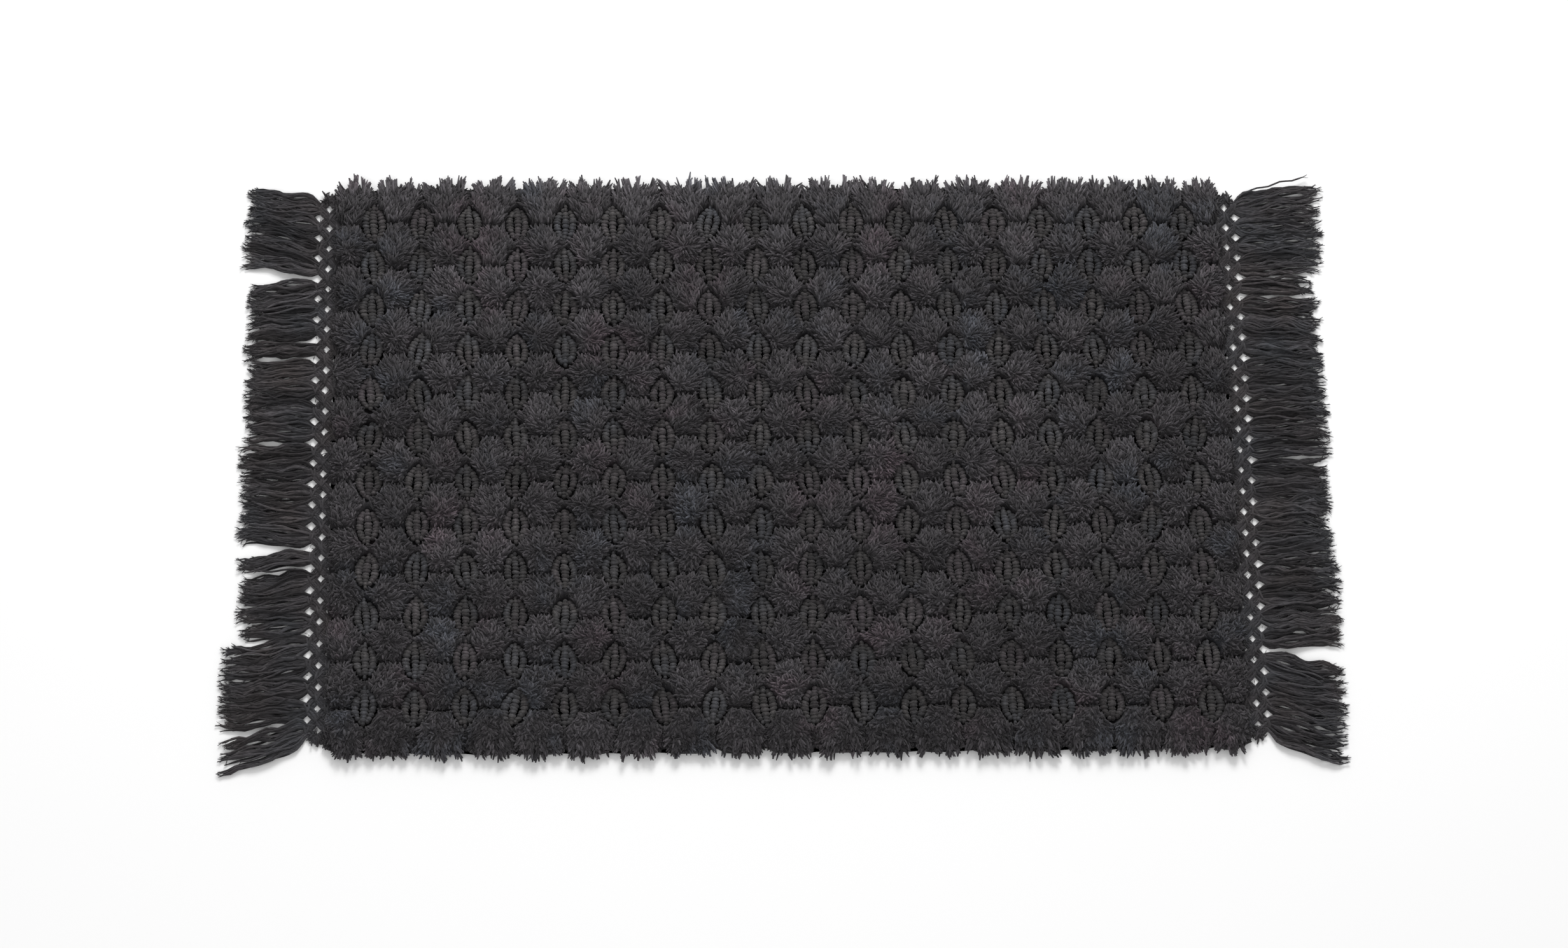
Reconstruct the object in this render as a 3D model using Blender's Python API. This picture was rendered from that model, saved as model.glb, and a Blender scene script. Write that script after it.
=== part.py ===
"""A hand-woven cotton bath mat with cut pile tufts, raised rib motifs, knotted end nets and tassels.

Frame: +X runs along the warp, from the left fringe to the right fringe; +Y runs across the mat, from
its near long edge to its far one; +Z is up. The origin is on the floor, under the middle of the mat.
"""

import math

import bmesh
import bpy

# Overall sizes of the woven field, in metres.
CLOTH_LENGTH = 0.870
CLOTH_WIDTH = 0.580
CLOTH_THICKNESS = 0.003

# The grid of rib motifs: columns along X, rows along Y. Tufts stand between them.
MOTIF_COLUMNS = 18
MOTIF_ROWS = 12
END_TUFT_LENGTH = 0.032
EDGE_TUFT_DEPTH = 0.037

# One rib motif, the pile left between the tips of two motifs in a column, and the binding groove that
# links the motifs of a row.
MOTIF_WIDTH = 0.025
PILE_NECK = 0.010
GROOVE_HALF_WIDTH = 0.0015
RIB_HEIGHT = 0.0055

# The pile. It hangs over the net at both ends, and over the selvedges as one fan for each tuft.
PILE_HEIGHT = 0.012
PILE_END_OVERHANG = 0.008
PILE_SIDE_OVERHANG = 0.012
FAN_VALLEY_OVERHANG = 0.004
FAN_SHOULDER = 0.010
END_ROUNDING = 0.008

# The knotted net at each end, with its three columns of diamond holes. The margin runs from either
# long side of the net to the middle of the nearest hole column.
NET_SIDE_INSET = 0.006
NET_THICKNESS = 0.003
NET_MARGIN = 0.0032
HOLE_COLUMN_PITCH = 0.0093
HOLE_LENGTH = 0.0050
HOLE_WIDTH = 0.0080

# The tassels, two to a pair and one pair to each pile row. The gaps are the air between neighbours.
TASSEL_LENGTH = 0.074
TASSEL_THICKNESS = 0.007
TASSEL_ROOT_GAP = 0.0088
TASSEL_BELLY_GAP = 0.0023
TASSEL_BELLY_PLACE = 0.4
TASSEL_TIP_GAP = 0.0058
KNOT_BAR_LENGTH = 0.006
CORNER_SPLAY = 0.024

# Air left between pieces that lie against each other.
GAP = 0.0003
RIB_CLEARANCE = 0.0005

# Worked out from the sizes above.
PILE_ROWS = MOTIF_ROWS + 1
COLUMN_PITCH = (CLOTH_LENGTH - 2 * END_TUFT_LENGTH) / (MOTIF_COLUMNS - 1)
ROW_PITCH = (CLOTH_WIDTH - 2 * EDGE_TUFT_DEPTH) / (MOTIF_ROWS - 1)
MOTIF_HALF_DEPTH = (ROW_PITCH - PILE_NECK) / 2
LAYER_BOTTOM = CLOTH_THICKNESS + GAP
NET_WIDTH = CLOTH_WIDTH - 2 * NET_SIDE_INSET
NET_LENGTH = 2 * NET_MARGIN + 2 * HOLE_COLUMN_PITCH
NET_START = CLOTH_LENGTH / 2 + GAP
TASSEL_START = NET_START + NET_LENGTH + GAP
PILE_END = CLOTH_LENGTH / 2 + PILE_END_OVERHANG
PAIR_PITCH = NET_WIDTH / PILE_ROWS
TASSEL_PITCH = PAIR_PITCH / 2


def clear_scene():
    """Take every object out of the open file."""
    for scene_object in list(bpy.data.objects):
        bpy.data.objects.remove(scene_object, do_unlink=True)


def cotton(name, colour, roughness):
    """A dyed cotton material."""
    material = bpy.data.materials.new(name)
    material.use_nodes = True
    shader = material.node_tree.nodes["Principled BSDF"]
    shader.inputs["Base Color"].default_value = (*colour, 1.0)
    shader.inputs["Roughness"].default_value = roughness
    shader.inputs["Metallic"].default_value = 0.0
    material.diffuse_color = (*colour, 1.0)
    return material


def add_object(name, mesh_data, material):
    """Turn a bmesh into a named object with one material."""
    bmesh.ops.recalc_face_normals(mesh_data, faces=mesh_data.faces)
    mesh = bpy.data.meshes.new(name)
    mesh_data.to_mesh(mesh)
    mesh_data.free()
    mesh.materials.append(material)
    new_object = bpy.data.objects.new(name, mesh)
    bpy.context.scene.collection.objects.link(new_object)
    return new_object


def slab(outline, bottom, height):
    """A closed plate: a flat outline, extruded straight up."""
    mesh_data = bmesh.new()
    floor_face = mesh_data.faces.new([mesh_data.verts.new((x, y, bottom)) for x, y in outline])
    raised = bmesh.ops.extrude_face_region(mesh_data, geom=[floor_face])["geom"]
    raised_points = [part for part in raised if isinstance(part, bmesh.types.BMVert)]
    bmesh.ops.translate(mesh_data, vec=(0, 0, height), verts=raised_points)
    return mesh_data


def motif_x(column):
    """Where a motif column stands along the mat."""
    return (column - (MOTIF_COLUMNS - 1) / 2) * COLUMN_PITCH


def groove_y(row):
    """Where a motif row, and the groove through it, lies across the mat."""
    return (row - (MOTIF_ROWS - 1) / 2) * ROW_PITCH


def build_ground_cloth(material):
    """The flat woven ground that everything else is bound to."""
    x, y = CLOTH_LENGTH / 2, CLOTH_WIDTH / 2
    outline = [(-x, -y), (x, -y), (x, y), (-x, y)]
    add_object("ground_cloth", slab(outline, 0.0, CLOTH_THICKNESS), material)


def rib_row_side(row, side):
    """One long side of a rib row, from -X to +X: straight along the groove, pointed at each motif."""
    y = groove_y(row)
    points = [(-CLOTH_LENGTH / 2, y + side * GROOVE_HALF_WIDTH)]
    for column in range(MOTIF_COLUMNS):
        x = motif_x(column)
        points.append((x - MOTIF_WIDTH / 2, y + side * GROOVE_HALF_WIDTH))
        points.append((x, y + side * MOTIF_HALF_DEPTH))
        points.append((x + MOTIF_WIDTH / 2, y + side * GROOVE_HALF_WIDTH))
    points.append((CLOTH_LENGTH / 2, y + side * GROOVE_HALF_WIDTH))
    return points


def build_rib_rows(material):
    """One raised rib band per motif row: its motifs and the binding groove that links them."""
    for row in range(MOTIF_ROWS):
        outline = rib_row_side(row, -1) + rib_row_side(row, 1)[::-1]
        add_object(f"rib_row_{row + 1:02d}", slab(outline, LAYER_BOTTOM, RIB_HEIGHT), material)


def pile_groove_side(row, side):
    """A pile strip's side along a groove, from -X to +X, notched clear of each motif.

    side is +1 for a strip on the +Y side of the groove and -1 for one on its -Y side.
    """
    rise = MOTIF_HALF_DEPTH - GROOVE_HALF_WIDTH
    slope_length = math.hypot(MOTIF_WIDTH / 2, rise)
    notch_tip = MOTIF_HALF_DEPTH + RIB_CLEARANCE * slope_length / (MOTIF_WIDTH / 2)
    edge = GROOVE_HALF_WIDTH + GAP
    notch_half = (notch_tip - edge) * (MOTIF_WIDTH / 2) / rise
    y = groove_y(row)
    points = [(-PILE_END, y + side * (edge + END_ROUNDING)), (-PILE_END + END_ROUNDING, y + side * edge)]
    for column in range(MOTIF_COLUMNS):
        x = motif_x(column)
        points.append((x - notch_half, y + side * edge))
        points.append((x, y + side * notch_tip))
        points.append((x + notch_half, y + side * edge))
    points.append((PILE_END - END_ROUNDING, y + side * edge))
    points.append((PILE_END, y + side * (edge + END_ROUNDING)))
    return points


def pile_fan_side(side):
    """The outer side of the first or last pile strip, from -X to +X: one fan past the selvedge per tuft."""
    bounds = [-PILE_END]
    bounds += [motif_x(column) for column in range(MOTIF_COLUMNS)]
    bounds.append(PILE_END)
    valley = CLOTH_WIDTH / 2 + FAN_VALLEY_OVERHANG
    tip = CLOTH_WIDTH / 2 + PILE_SIDE_OVERHANG
    points = [(bounds[0], side * valley)]
    for left, right in zip(bounds[:-1], bounds[1:]):
        points.append((left + FAN_SHOULDER, side * tip))
        points.append((right - FAN_SHOULDER, side * tip))
        points.append((right, side * valley))
    return points


def build_pile_rows(material):
    """Thirteen strips of cut pile, each a line of nineteen tufts between two grooves."""
    for row in range(PILE_ROWS):
        near_side = pile_groove_side(row - 1, 1) if row > 0 else pile_fan_side(-1)
        far_side = pile_groove_side(row, -1) if row < MOTIF_ROWS else pile_fan_side(1)
        outline = near_side + far_side[::-1]
        add_object(f"pile_row_{row + 1:02d}", slab(outline, LAYER_BOTTOM, PILE_HEIGHT), material)


def net_hole_places(direction):
    """Centres of a net's holes.

    The middle column has one behind each tassel but the two at the corners. The outer column has one
    between each two tassels, and the inner column one between each two tassel pairs.
    """
    columns = (
        (PAIR_PITCH, PAIR_PITCH, PILE_ROWS - 1),
        (1.5 * TASSEL_PITCH, TASSEL_PITCH, 2 * PILE_ROWS - 2),
        (TASSEL_PITCH, TASSEL_PITCH, 2 * PILE_ROWS - 1),
    )
    places = []
    for column, (first, pitch, count) in enumerate(columns):
        x = direction * (NET_START + NET_MARGIN + column * HOLE_COLUMN_PITCH)
        for index in range(count):
            places.append((x, -NET_WIDTH / 2 + first + index * pitch))
    return places


def build_end_net(side_name, direction, material):
    """The knotted net at one end: a plate through which a cutter opens the diamond holes."""
    inner, outer = sorted((direction * NET_START, direction * (NET_START + NET_LENGTH)))
    y = NET_WIDTH / 2
    outline = [(inner, -y), (outer, -y), (outer, y), (inner, y)]
    net = add_object(f"{side_name}_end_net", slab(outline, 0.0, NET_THICKNESS), material)

    cutter_mesh = bmesh.new()
    for x, hole_y in net_hole_places(direction):
        hole = bmesh.ops.create_cone(
            cutter_mesh, cap_ends=True, segments=4, radius1=0.5, radius2=0.5, depth=3 * NET_THICKNESS
        )
        bmesh.ops.scale(cutter_mesh, vec=(HOLE_LENGTH, HOLE_WIDTH, 1), verts=hole["verts"])
        bmesh.ops.translate(cutter_mesh, vec=(x, hole_y, NET_THICKNESS / 2), verts=hole["verts"])
    cutter = add_object(f"{side_name}_net_hole_cutter", cutter_mesh, material)
    cutter.hide_render = True
    cutter.display_type = "WIRE"

    holes = net.modifiers.new("diamond_holes", "BOOLEAN")
    holes.operation = "DIFFERENCE"
    holes.solver = "EXACT"
    holes.object = cutter


def tassel_pair_outline(direction, pair):
    """Two tassels that hang from one bar of knots; the pairs near a corner lean outwards."""
    centre = (pair - (PILE_ROWS - 1) / 2) * PAIR_PITCH
    lean = CORNER_SPLAY * (2 * centre / NET_WIDTH) ** 3
    leg_offset = TASSEL_PITCH / 2
    bar_half = leg_offset + (TASSEL_PITCH - TASSEL_ROOT_GAP) / 2
    stations = (
        (KNOT_BAR_LENGTH, TASSEL_PITCH - TASSEL_ROOT_GAP),
        (TASSEL_BELLY_PLACE * TASSEL_LENGTH, TASSEL_PITCH - TASSEL_BELLY_GAP),
        (TASSEL_LENGTH, TASSEL_PITCH - TASSEL_TIP_GAP),
    )

    def leg_side(leg, edge):
        """One edge of one leg, from its root to its tip."""
        points = []
        for along, width in stations:
            y = centre + leg * leg_offset + lean * (along / TASSEL_LENGTH) ** 2 + edge * width / 2
            points.append((along, y))
        return points

    points = [(0.0, centre - bar_half)]
    points += leg_side(-1, -1)
    points += leg_side(-1, 1)[::-1]
    points += leg_side(1, -1)
    points += leg_side(1, 1)[::-1]
    points.append((0.0, centre + bar_half))
    return [(direction * (TASSEL_START + along), y) for along, y in points]


def build_tassels(side_name, direction, material):
    """The fringe at one end, as one piece for each pair of tassels."""
    for pair in range(PILE_ROWS):
        solid = slab(tassel_pair_outline(direction, pair), 0.0, TASSEL_THICKNESS)
        add_object(f"{side_name}_tassel_pair_{pair + 1:02d}", solid, material)


def main():
    """Build the whole mat."""
    clear_scene()
    ground_cotton = cotton("ground_weave_cotton", (0.024, 0.022, 0.024), 0.95)
    pile_cotton = cotton("cut_pile_cotton", (0.030, 0.027, 0.030), 0.95)
    rib_cotton = cotton("rib_weave_cotton", (0.034, 0.031, 0.032), 0.9)
    net_cotton = cotton("knotted_warp_cotton", (0.040, 0.037, 0.040), 0.85)
    tassel_cotton = cotton("tassel_yarn_cotton", (0.045, 0.042, 0.046), 0.85)
    build_ground_cloth(ground_cotton)
    build_rib_rows(rib_cotton)
    build_pile_rows(pile_cotton)
    for side_name, direction in (("left", -1), ("right", 1)):
        build_end_net(side_name, direction, net_cotton)
        build_tassels(side_name, direction, tassel_cotton)


main()
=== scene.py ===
"""The looks of a hand-woven charcoal cotton bath mat.

Its pieces are the ground cloth, the cut pile, the rib motifs, and a knotted net and tassels at each end.
"""

import math
from collections import namedtuple

import bmesh
import bpy
import numpy as np
from mathutils import Matrix, Vector


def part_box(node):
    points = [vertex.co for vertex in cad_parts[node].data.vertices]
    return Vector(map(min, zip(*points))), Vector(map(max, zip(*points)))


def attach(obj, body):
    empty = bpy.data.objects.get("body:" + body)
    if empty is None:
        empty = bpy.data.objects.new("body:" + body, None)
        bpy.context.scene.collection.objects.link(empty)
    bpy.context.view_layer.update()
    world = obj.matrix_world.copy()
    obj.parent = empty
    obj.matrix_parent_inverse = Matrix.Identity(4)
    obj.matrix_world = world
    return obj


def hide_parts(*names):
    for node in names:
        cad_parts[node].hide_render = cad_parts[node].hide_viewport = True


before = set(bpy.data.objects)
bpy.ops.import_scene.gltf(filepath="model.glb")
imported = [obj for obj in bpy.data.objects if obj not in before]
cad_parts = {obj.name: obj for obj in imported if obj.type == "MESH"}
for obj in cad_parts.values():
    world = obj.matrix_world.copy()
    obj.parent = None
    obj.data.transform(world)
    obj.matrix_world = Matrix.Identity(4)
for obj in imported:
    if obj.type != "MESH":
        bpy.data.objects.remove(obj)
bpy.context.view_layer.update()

# Lengths are in metres, so one millimetre is this.
MM = 0.001

# The grid of the woven field, as in the part's source.
MOTIF_COLUMNS = 18
MOTIF_ROWS = 12
PILE_ROWS = MOTIF_ROWS + 1
TUFTS_PER_ROW = MOTIF_COLUMNS + 1
END_TUFT_LENGTH = 0.032

CLOTH_LOW, CLOTH_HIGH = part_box("ground_cloth")
CLOTH_LENGTH = CLOTH_HIGH.x - CLOTH_LOW.x
CLOTH_WIDTH = CLOTH_HIGH.y - CLOTH_LOW.y
CLOTH_TOP = CLOTH_HIGH.z
HALF_WIDTH = CLOTH_WIDTH / 2
COLUMN_PITCH = (CLOTH_LENGTH - 2 * END_TUFT_LENGTH) / (MOTIF_COLUMNS - 1)
COLUMN_X = (np.arange(MOTIF_COLUMNS) - (MOTIF_COLUMNS - 1) / 2) * COLUMN_PITCH


def groove_lines():
    """Where each motif row, and the groove through it, lies across the mat."""
    lines = []
    for row in range(MOTIF_ROWS):
        low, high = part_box(f"rib_row_{row + 1:02d}")
        lines.append((low.y + high.y) / 2)
    return np.array(lines)


GROOVE_Y = groove_lines()
RIB_LOW, RIB_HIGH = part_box("rib_row_01")
MOTIF_HALF_DEPTH = (RIB_HIGH.y - RIB_LOW.y) / 2
PILE_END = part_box("pile_row_07")[1].x
# The pile's opening round a motif is this wide from its middle, and runs on this far past each tip.
MOTIF_HALF_WIDTH = 13.0 * MM
MOTIF_END_ROOM = 1.5 * MM
# 2 would make the opening an ellipse, and less makes its ends more pointed.
OVAL_POWER = 1.7

rng = np.random.default_rng(7)


# -------- materials

# The part of the fibre noise that is used, and how far it darkens and lightens the dye.
NOISE_LOW = 0.3
NOISE_HIGH = 0.7
FIBRE_DARKEST = 0.4
FIBRE_LIGHTEST = 1.6


def linear(hex_colour):
    """An sRGB hex colour as a linear RGBA tuple."""
    channels = [int(hex_colour[i : i + 2], 16) / 255 for i in (0, 2, 4)]
    light = [c / 12.92 if c <= 0.04045 else ((c + 0.055) / 1.055) ** 2.4 for c in channels]
    return (*light, 1.0)


def add_node(tree, kind, settings=(), **links):
    """Add a shader node; settings are (name, value) pairs, links give an output or a value per input."""
    node = tree.nodes.new(kind)
    for name, value in settings:
        setattr(node, name, value)
    for name, source in links.items():
        socket = node.inputs[int(name[1:])] if name[1:].isdigit() else node.inputs[name.replace("_", " ")]
        if isinstance(source, bpy.types.NodeSocket):
            tree.links.new(source, socket)
        else:
            socket.default_value = source
    return node


def add_noise(tree, place, scale):
    """Add soft noise over a place, and return its strength."""
    node = add_node(tree, "ShaderNodeTexNoise", Vector=place, Scale=scale, Detail=2.0, Roughness=0.6)
    return node.outputs["Fac"]


def add_attribute(tree, name, output):
    """Read a value that the mesh stores on each point."""
    return add_node(tree, "ShaderNodeAttribute", [("attribute_name", name)]).outputs[output]


def add_product(tree, first, second):
    """Multiply two values."""
    node = add_node(tree, "ShaderNodeMath", [("operation", "MULTIPLY")], _0=first, _1=second)
    return node.outputs["Value"]


def colour_stops(node, stops):
    """Set a colour ramp's stops from (position, sRGB hex) pairs."""
    ramp = node.color_ramp
    while len(ramp.elements) < len(stops):
        ramp.elements.new(0.5)
    for element, (position, hex_colour) in zip(ramp.elements, stops):
        element.position = position
        element.color = linear(hex_colour)


def dyed_cotton(name, stops, patch_mm, bump_mm, sheen):
    """Dyed cotton: matt and slightly woolly, its dye uneven from patch to patch and fibre to fibre."""
    material = bpy.data.materials.new(name)
    material.use_nodes = True
    tree = material.node_tree
    place = add_node(tree, "ShaderNodeTexCoord").outputs["Object"]
    dye = add_node(tree, "ShaderNodeValToRGB", Fac=add_noise(tree, place, 1000 / patch_mm))
    colour_stops(dye, stops)
    fibres = add_noise(tree, add_attribute(tree, "grain", "Vector"), 1.0)
    streaks = add_node(
        tree,
        "ShaderNodeMapRange",
        Value=fibres,
        From_Min=NOISE_LOW,
        From_Max=NOISE_HIGH,
        To_Min=FIBRE_DARKEST,
        To_Max=FIBRE_LIGHTEST,
    )
    # The tone on each point holds random dye and the painted shade and light of the pile, floats and
    # yarns.
    shade = add_product(tree, add_attribute(tree, "tone", "Fac"), streaks.outputs["Result"])
    shaded = add_node(
        tree, "ShaderNodeVectorMath", [("operation", "SCALE")], _0=dye.outputs["Color"], Scale=shade
    )
    bump = add_node(tree, "ShaderNodeBump", Height=fibres, Distance=bump_mm * MM, Strength=1.0)
    shader = tree.nodes["Principled BSDF"]
    tree.links.new(shaded.outputs["Vector"], shader.inputs["Base Color"])
    tree.links.new(bump.outputs["Normal"], shader.inputs["Normal"])
    shader.inputs["Roughness"].default_value = 0.95
    shader.inputs["Specular IOR Level"].default_value = 0.15
    shader.inputs["Sheen Weight"].default_value = sheen
    shader.inputs["Sheen Roughness"].default_value = 0.5
    shader.inputs["Sheen Tint"].default_value = linear("C9C6C8")
    return material


CHARCOAL_DYE = ((0.30, "45474D"), (0.43, "3E3C3F"), (0.57, "454245"), (0.70, "50474C"))
RIB_DYE = ((0.3, "414246"), (0.5, "403E3E"), (0.7, "474245"))
GROUND_DYE = ((0.3, "393739"), (0.7, "403B3D"))
WARP_DYE = ((0.3, "37383B"), (0.5, "383638"), (0.7, "3B3737"))
# The pile's cut ends scatter light, so it is matt with a faint bloom.
PILE_COTTON = dyed_cotton("dyed cotton cut pile", CHARCOAL_DYE, 70, 0.35, 0.25)
# The rib floats are a little warmer than the pile.
RIB_COTTON = dyed_cotton("dyed cotton rib weave", RIB_DYE, 60, 0.3, 0.25)
# The ground is a plain weave, seen only from below, at the grooves and along the selvedge.
GROUND_COTTON = dyed_cotton("dyed cotton plain weave", GROUND_DYE, 60, 0.5, 0.1)
# The warp yarn of the nets and tassels is smoother and a little darker than the pile.
WARP_COTTON = dyed_cotton("dyed cotton warp yarn", WARP_DYE, 70, 0.2, 0.2)


# -------- mesh helpers

# A streak of dye on a yarn is about this wide and long.
FIBRE_WIDTH = 0.7 * MM
FIBRE_LENGTH = 7.0 * MM
# How far apart in the fibre noise two yarns may start.
GRAIN_SPREAD = 90


def put_in_scene(name, mesh, material, slot_name, *nodes):
    """Make a finished mesh a piece of the object: one material, one slot, standing for some CAD nodes."""
    mesh.materials.clear()
    mesh.materials.append(material)
    piece = bpy.data.objects.new(name, mesh)
    bpy.context.scene.collection.objects.link(piece)
    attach(piece, "root")
    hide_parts(*nodes)
    return piece


def mesh_arrays(source):
    """Corner points, and each face's corner numbers, of a small bmesh, which is then given up."""
    source.verts.index_update()
    points = np.array([vert.co[:] for vert in source.verts])
    faces = [[vert.index for vert in face.verts] for face in source.faces]
    source.free()
    return points, faces


def unit(vectors):
    """Rows scaled to length one."""
    return vectors / np.linalg.norm(vectors, axis=1, keepdims=True)


class Heap:
    """A mesh in the making, of many placed copies of small shapes.

    Each point has a tone, which holds the dye's random changes and painted shade and light, and a place
    in the grain of its own fibres, which run one way.
    """

    def __init__(self):
        self.points = []
        self.faces = []
        self.tones = []
        self.grain = []
        self.count = 0

    def add_faces(self, faces, start):
        """Add faces, with as many copies of them as there are starts in the point count."""
        for corners in sorted({len(face) for face in faces}):
            block = np.array([face for face in faces if len(face) == corners])
            spread = (block[None, :, :] + start[:, None, None]).reshape(-1, corners)
            self.faces.append(spread + self.count)

    def add_mesh(self, points, faces, tones, grain):
        """Add one finished shape with a tone and a place in the grain for each point."""
        self.add_faces(faces, np.array([0]))
        self.points.append(points)
        self.tones.append(tones)
        self.grain.append(grain)
        self.count += len(points)

    def add_copies(self, prototype, matrices, tones):
        """Add one copy of a prototype for each 4x4 matrix, its fibres along the prototype's own axis."""
        points, faces, shades, fibre_axis = prototype
        padded = np.concatenate([points, np.ones((len(points), 1))], axis=1)
        placed = np.einsum("nij,pj->npi", matrices, padded)[:, :, :3].reshape(-1, 3)
        self.add_faces(faces, np.arange(len(matrices)) * len(points))
        sizes = np.linalg.norm(matrices[:, :3, :3], axis=1)
        grain = points[None, :, :] * sizes[:, None, :] / FIBRE_WIDTH
        grain[:, :, fibre_axis] *= FIBRE_WIDTH / FIBRE_LENGTH
        grain = grain + rng.uniform(0, GRAIN_SPREAD, (len(matrices), 1, 3))
        self.points.append(placed)
        self.tones.append((tones[:, None] * shades[None, :]).ravel())
        self.grain.append(grain.reshape(-1, 3))
        self.count += len(placed)

    def mesh(self, name):
        """Close the heap into one smooth mesh with a tone and a place in the grain on every point."""
        points = np.concatenate(self.points)
        mesh = bpy.data.meshes.new(name)
        corners = np.concatenate([block.ravel() for block in self.faces])
        sizes = np.concatenate([np.full(len(block), block.shape[1]) for block in self.faces])
        mesh.vertices.add(len(points))
        mesh.vertices.foreach_set("co", points.astype(np.float32).ravel())
        mesh.loops.add(len(corners))
        mesh.loops.foreach_set("vertex_index", corners.astype(np.int32))
        mesh.polygons.add(len(sizes))
        mesh.polygons.foreach_set("loop_start", (np.cumsum(sizes) - sizes).astype(np.int32))
        mesh.polygons.foreach_set("use_smooth", np.ones(len(sizes), bool))
        mesh.update(calc_edges=True)
        tones = np.repeat(np.concatenate(self.tones), 3)
        for attribute, values in (("tone", tones), ("grain", np.concatenate(self.grain).ravel())):
            layer = mesh.attributes.new(attribute, "FLOAT_VECTOR", "POINT")
            layer.data.foreach_set("vector", values.astype(np.float32))
        return mesh


# -------- locks of cut yarn

# A lock is a short cut length of yarn. These are shares of its own width.
LOCK_BENDS = (-0.7, -0.25, 0.25, 0.7)
LOCK_FLATNESS = 0.8
# The painted shade and light along it, as tones at its foot, its middle and its tip: darker down in the
# pile and lighter at the tip; and how far it is rolled at random, in radians.
LOCK_PAINTED_SHADES = (0.6, 0.95, 1.2)
LOCK_ROLL = 0.35


def lock_prototype(bend):
    """A lock one unit long and wide, flat below, that bends aside and droops as it runs out."""
    shape = bmesh.new()
    bmesh.ops.create_cone(shape, cap_ends=True, segments=3, radius1=0.42, radius2=0.28, depth=1.0)
    first = shape.verts[:][0].co
    turn = math.pi / 2 - math.atan2(first.y, first.x)
    bmesh.ops.rotate(shape, matrix=Matrix.Rotation(turn, 3, "Z"), verts=shape.verts)
    rising = [edge for edge in shape.edges if abs(edge.verts[0].co.z - edge.verts[1].co.z) > 0.5]
    bmesh.ops.subdivide_edges(shape, edges=rising, cuts=1)
    bmesh.ops.translate(shape, vec=(0, 0, 0.5), verts=shape.verts)
    middle = [vert for vert in shape.verts if 0.3 < vert.co.z < 0.7]
    bmesh.ops.scale(shape, vec=(1.6, 1.5, 1), verts=middle)
    for vert in shape.verts:
        vert.co.x += bend * vert.co.z**2
        vert.co.y -= 0.25 * vert.co.z**2
    bmesh.ops.recalc_face_normals(shape, faces=shape.faces)
    points, faces = mesh_arrays(shape)
    return points, faces, np.interp(points[:, 2], (0, 0.5, 1), LOCK_PAINTED_SHADES), 2


LOCKS = [lock_prototype(bend) for bend in LOCK_BENDS]


def lock_matrices(bases, directions, lengths, thicknesses):
    """4x4 matrices that lay a lock on each base, along each direction, its round side roughly up."""
    directions = unit(directions)
    across = unit(np.cross(directions, np.array([0.0, 0.0, 1.0])) + 1e-6)
    upper = np.cross(across, directions)
    roll = rng.normal(scale=LOCK_ROLL, size=(len(bases), 1))
    side_axis = across * np.cos(roll) + upper * np.sin(roll)
    upper_axis = upper * np.cos(roll) - across * np.sin(roll)
    matrices = np.zeros((len(bases), 4, 4))
    matrices[:, :3, 0] = side_axis * thicknesses[:, None]
    matrices[:, :3, 1] = upper_axis * thicknesses[:, None] * LOCK_FLATNESS
    matrices[:, :3, 2] = directions * lengths[:, None]
    matrices[:, :3, 3] = bases
    matrices[:, 3, 3] = 1
    return matrices


def add_locks(heap, bases, directions, lengths, thicknesses, tones):
    """Lay a lock of a random shape at each place, and lift those that would dip into the floor."""
    matrices = lock_matrices(bases, directions, lengths, thicknesses)
    lowest = matrices[:, 2, 3] + np.minimum(matrices[:, 2, 2], 0) - thicknesses
    matrices[:, 2, 3] -= np.minimum(lowest, 0)
    choice = rng.integers(len(LOCKS), size=len(bases))
    for index, prototype in enumerate(LOCKS):
        chosen = choice == index
        heap.add_copies(prototype, matrices[chosen], tones[chosen])


# -------- shape of the cut pile

# The dense core of a row of tufts, under its cut ends.
CORE_HEIGHT = 9.5 * MM
CORE_LIFT = 0.4 * MM
CORE_BOTTOM = 0.1 * MM
CORE_STEP = 2.9 * MM
CORE_GRAIN = 1.1 * MM
# Painted shade: the core is made darker than the cut ends over it, as it lies deep in their shade.
CORE_PAINTED_SHADE = 0.55
# How far from each edge the core reaches its full height.
GROOVE_SHOULDER = 7 * MM
MOTIF_SHOULDER = 3.0 * MM
END_SHOULDER = 9 * MM
SELVEDGE_SHOULDER = 20 * MM
# The core stops short of the pile's end, and further short near a groove.
END_MARGIN = 3 * MM
END_RECESS = 6 * MM
RECESS_WIDTH = 8 * MM
GROOVE_HALF_WIDTH = 0.5 * MM
# The crease between two tufts: the share of the height that it takes away, and its half width.
CREASE_DEPTH = 0.6
CREASE_WIDTH = 2.2 * MM
# Past a selvedge the tufts spread in fans, with a valley between two and less at the mat's corners.
NEAR_OVERHANG = 9 * MM
FAR_OVERHANG = 5 * MM
FAN_VALLEY = 5 * MM
VALLEY_WIDTH = 7 * MM
CORNER_ROUNDING = 8 * MM
CORNER_WIDTH = 13 * MM
# The hand's unevenness: where each crease stands, and how far each groove sags under each tuft.
CREASE_SHIFT = rng.uniform(-2.5, 2.5, (PILE_ROWS, MOTIF_COLUMNS)) * MM
GROOVE_SAG = rng.uniform(-1.0, 5.5, (MOTIF_ROWS, TUFTS_PER_ROW)) * MM
# How much the dye drifts over the mat, how much painted light makes its far side lighter, and the tone of
# painted shade deep in the pile.
DYE_DRIFT = 0.12
FAR_PAINTED_LIGHT = 0.06
DEEP_PAINTED_SHADE = 0.48


def dome(distance, reach):
    """A quarter-round rise from 0 at no distance to 1 at the reach."""
    share = np.clip(distance / reach, 0, 1)
    return np.sqrt(1 - (1 - share) ** 2)


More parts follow.
